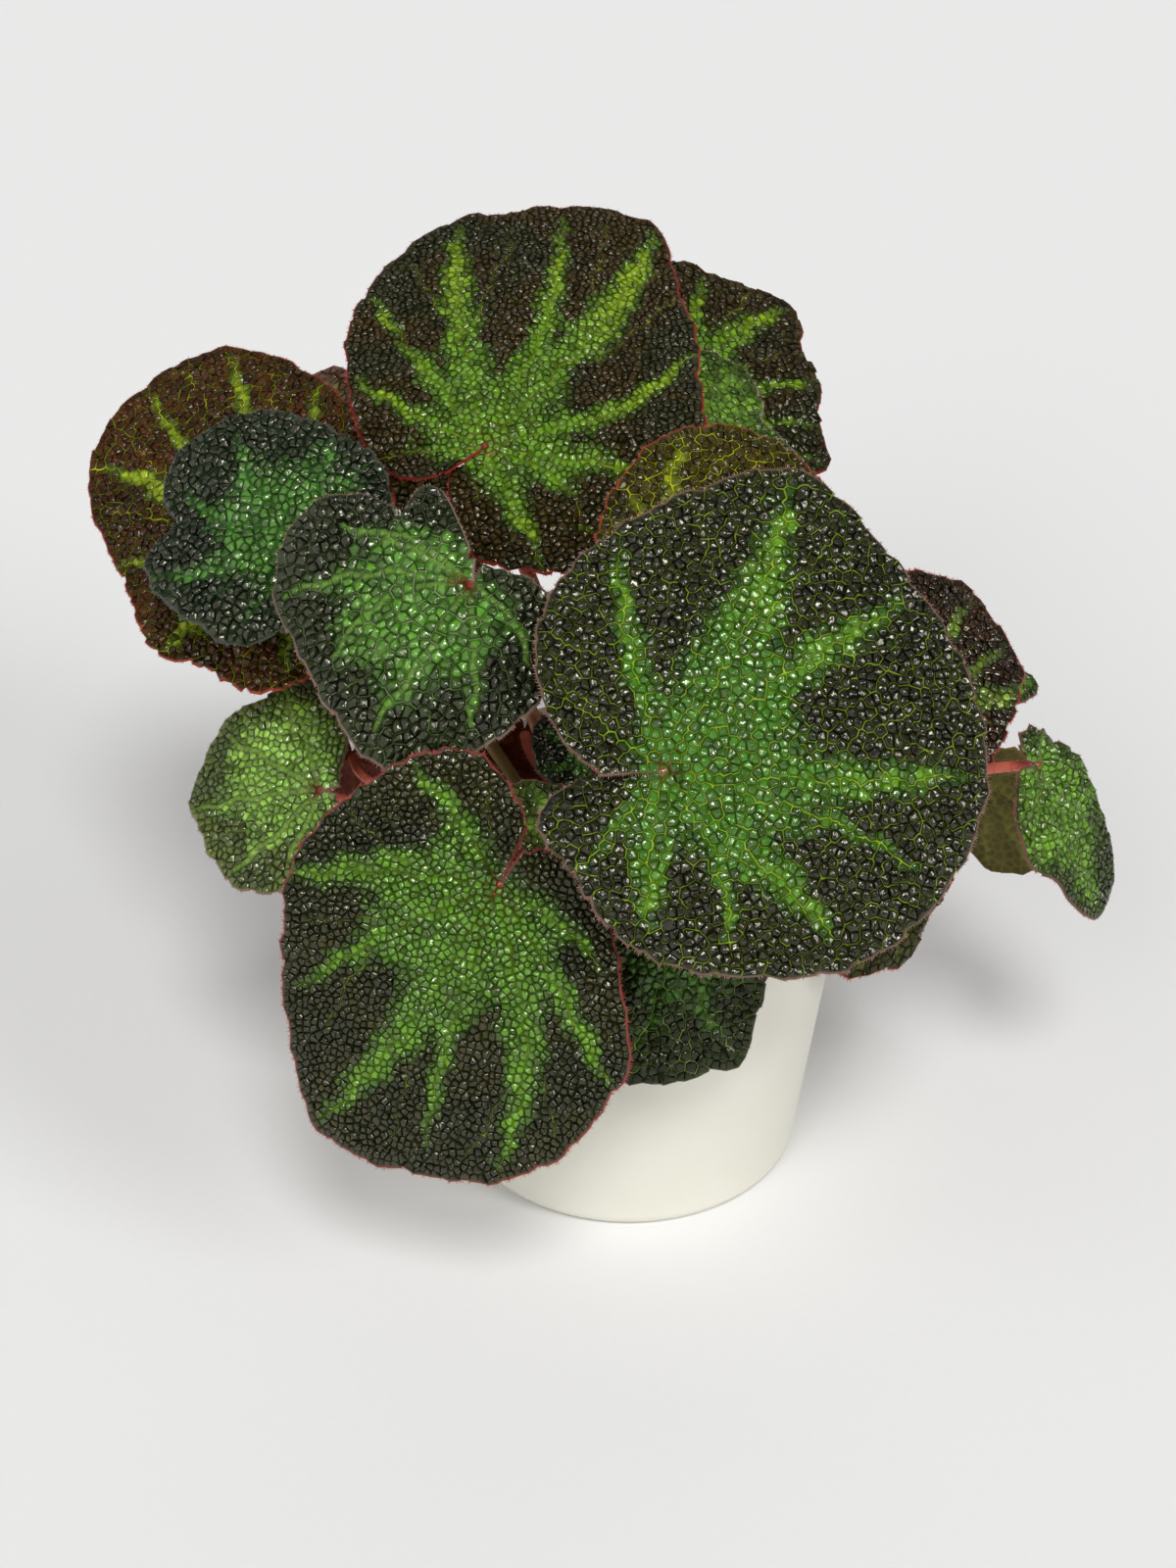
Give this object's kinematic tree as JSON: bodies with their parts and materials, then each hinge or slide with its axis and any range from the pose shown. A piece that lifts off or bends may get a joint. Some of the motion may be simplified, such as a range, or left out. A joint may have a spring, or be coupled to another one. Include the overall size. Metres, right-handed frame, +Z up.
{
  "type": "potted begonia",
  "caption": "Bushy rhizomatous begonia with round puckered dark leaves and green veins, growing in a tapered white plastic pot.",
  "frame": {"origin": "middle of the pot's flat underside", "axes": "+Z up through the pot, -Y towards the front leaf, +X to the right"},
  "size_m": [0.3007, 0.2533, 0.2438],
  "materials": {
    "pot_plastic": "satin",
    "potting_mix": "crumbly",
    "rhizome_flesh": "rough",
    "leaf_dark": "glossy",
    "leaf_red_brown": "glossy",
    "leaf_blue_green": "glossy",
    "leaf_mid_green": "satin",
    "leaf_amber": "satin",
    "leaf_under": "satin"
  },
  "bodies": {
    "root": {"pot": "pot_plastic", "potting_mix": "potting_mix", "rhizome": "rhizome_flesh", "leaf_large_front": "leaf_dark", "leaf_lower_left": "leaf_dark", "leaf_top": "leaf_dark", "leaf_left_back": "leaf_red_brown", "leaf_left_dark": "leaf_blue_green", "leaf_mid_left": "leaf_mid_green", "leaf_left_small": "leaf_mid_green", "leaf_amber": "leaf_amber", "leaf_right_back": "leaf_dark", "leaf_pale_back": "leaf_mid_green", "leaf_right_red": "leaf_red_brown", "leaf_right_tiny": "leaf_mid_green", "leaf_right_low": "leaf_mid_green", "leaf_front_low": "leaf_dark", "leaf_mid_small": "leaf_blue_green", "leaf_inner_low": "leaf_mid_green", "leaf_right_under": "leaf_under", "leaf_pot_side": "leaf_amber", "leaf_far_left": "leaf_red_brown", "leaf_inner_red": "leaf_under", "leaf_inner_brown": "leaf_red_brown", "leaf_left_inner": "leaf_under", "leaf_back_low": "leaf_dark", "leaf_back_left": "leaf_dark", "leaf_back_right": "leaf_dark", "leaf_back_upper": "leaf_dark", "leaf_right_rear": "leaf_mid_green", "leaf_left_rear": "leaf_mid_green"}
  },
  "joints": []
}
